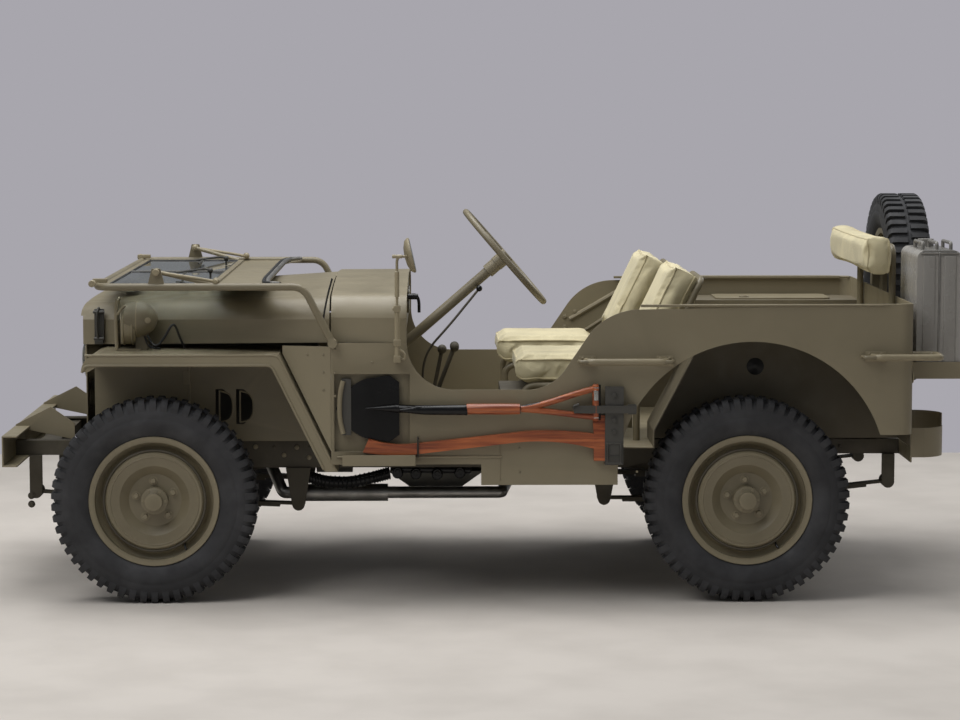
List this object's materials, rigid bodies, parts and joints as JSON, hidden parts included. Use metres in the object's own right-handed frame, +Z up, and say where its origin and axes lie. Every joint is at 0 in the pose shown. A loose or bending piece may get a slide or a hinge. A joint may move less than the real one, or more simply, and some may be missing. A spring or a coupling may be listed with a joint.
{
  "type": "open four-wheel-drive army car",
  "caption": "Open-bodied military 4x4 field car, windshield folded on the hood, side tools, rear spare wheel and fuel can, steering and rolling wheels",
  "frame": {"origin": "on the ground, midway along the overall length, on the centre plane", "axes": "-X to the front, +X to the rear, -Y to the driver's side, +Z up"},
  "size_m": [3.295, 1.577, 1.369],
  "materials": {
    "olive_paint": "semi-matt olive drab paint",
    "engine_grey": "painted iron, dull",
    "cream_canvas": "cream proofed canvas with stitched seams",
    "tool_wood": "oiled orange-brown wood",
    "black_steel": "gloss black enamel",
    "grey_paint": "semi-gloss grey paint",
    "glass": "clear flat glass",
    "tyre": "matt black rubber"
  },
  "bodies": {
    "chassis": {"frame": "olive_paint", "front_bumper": "olive_paint", "rear_bumperettes": "olive_paint", "pintle_hook": "olive_paint", "engine_block": "engine_grey", "gearbox": "engine_grey", "propeller_shafts": "olive_paint", "exhaust": "engine_grey", "fuel_tank": "olive_paint", "radiator": "engine_grey", "front_axle": "olive_paint", "rear_axle": "olive_paint", "leaf_springs": "olive_paint", "floor_pan": "olive_paint", "body_side_left": "olive_paint", "body_side_right": "olive_paint", "rear_panel": "olive_paint", "wheelhouses": "olive_paint", "cowl": "olive_paint", "firewall": "olive_paint", "dash_panel": "olive_paint", "grille": "olive_paint", "lamps": "olive_paint", "front_fenders": "olive_paint", "steering_column": "olive_paint", "driver_controls": "olive_paint", "driver_seat_cushions": "cream_canvas", "passenger_seat_cushions": "cream_canvas", "rear_seat_cushions": "cream_canvas", "seat_frames": "olive_paint", "grab_handles": "olive_paint", "mirror": "olive_paint", "shovel": "tool_wood", "axe": "tool_wood", "tool_brackets": "black_steel", "jerrycan": "grey_paint", "rear_carriers": "olive_paint", "spare_wheel": "olive_paint", "spare_tyre": "tyre"},
    "hood": {"hood": "olive_paint"},
    "windshield": {"windshield_frame": "olive_paint", "windshield_sash": "olive_paint", "windshield_glass": "glass"},
    "steering_wheel": {"steering_wheel": "olive_paint"},
    "knuckle_left": {"knuckle_left": "olive_paint"},
    "knuckle_right": {"knuckle_right": "olive_paint"},
    "tie_rod": {"tie_rod": "olive_paint"},
    "wheel_front_left": {"wheel_front_left": "olive_paint", "tyre_front_left": "tyre"},
    "wheel_front_right": {"wheel_front_right": "olive_paint", "tyre_front_right": "tyre"},
    "wheel_rear_left": {"wheel_rear_left": "olive_paint", "tyre_rear_left": "tyre"},
    "wheel_rear_right": {"wheel_rear_right": "olive_paint", "tyre_rear_right": "tyre"}
  },
  "joints": [
    {"name": "steer_left", "type": "hinge", "parent": "chassis", "child": "knuckle_left", "pos_m": [-1.128, -0.53, 0.352], "axis": [0, 0, 1], "range_deg": [-26, 26]},
    {"name": "steer_right", "type": "hinge", "parent": "chassis", "child": "knuckle_right", "pos_m": [-1.128, 0.53, 0.352], "axis": [0, 0, 1], "range_deg": [-26, 26]},
    {"name": "tie_rod_pin", "type": "hinge", "parent": "knuckle_left", "child": "tie_rod", "pos_m": [-1.298, -0.518, 0.352], "axis": [0, 0, 1], "range_deg": [-27, 27]},
    {"name": "steering_wheel_turn", "type": "hinge", "parent": "chassis", "child": "steering_wheel", "pos_m": [0.078, -0.37, 1.171], "axis": [-0.7549, 0, -0.6559], "range_deg": [-370, 370]},
    {"name": "wheel_spin_front_left", "type": "hinge", "parent": "knuckle_left", "child": "wheel_front_left", "pos_m": [-1.128, -0.6225, 0.352], "axis": [0, 1, 0], "continuous": true},
    {"name": "wheel_spin_front_right", "type": "hinge", "parent": "knuckle_right", "child": "wheel_front_right", "pos_m": [-1.128, 0.6225, 0.352], "axis": [0, 1, 0], "continuous": true},
    {"name": "wheel_spin_rear_left", "type": "hinge", "parent": "chassis", "child": "wheel_rear_left", "pos_m": [0.904, -0.6225, 0.352], "axis": [0, 1, 0], "continuous": true},
    {"name": "wheel_spin_rear_right", "type": "hinge", "parent": "chassis", "child": "wheel_rear_right", "pos_m": [0.904, 0.6225, 0.352], "axis": [0, 1, 0], "continuous": true},
    {"name": "windshield_fold", "type": "hinge", "parent": "chassis", "child": "windshield", "pos_m": [-0.513, 0, 0.901], "axis": [0, 1, 0], "range_deg": [0, 95]},
    {"name": "hood_open", "type": "hinge", "parent": "chassis", "child": "hood", "pos_m": [-0.5187, 0, 1.084], "axis": [0, 1, 0], "range_deg": [0, 58]}
  ],
  "couplings": [
    {"joint": "steer_right", "follows": "steer_left", "ratio": 1},
    {"joint": "tie_rod_pin", "follows": "steer_left", "ratio": -1},
    {"joint": "steering_wheel_turn", "follows": "steer_left", "ratio": 14},
    {"joint": "hood_open", "follows": "windshield_fold", "ratio": 0.6}
  ]
}
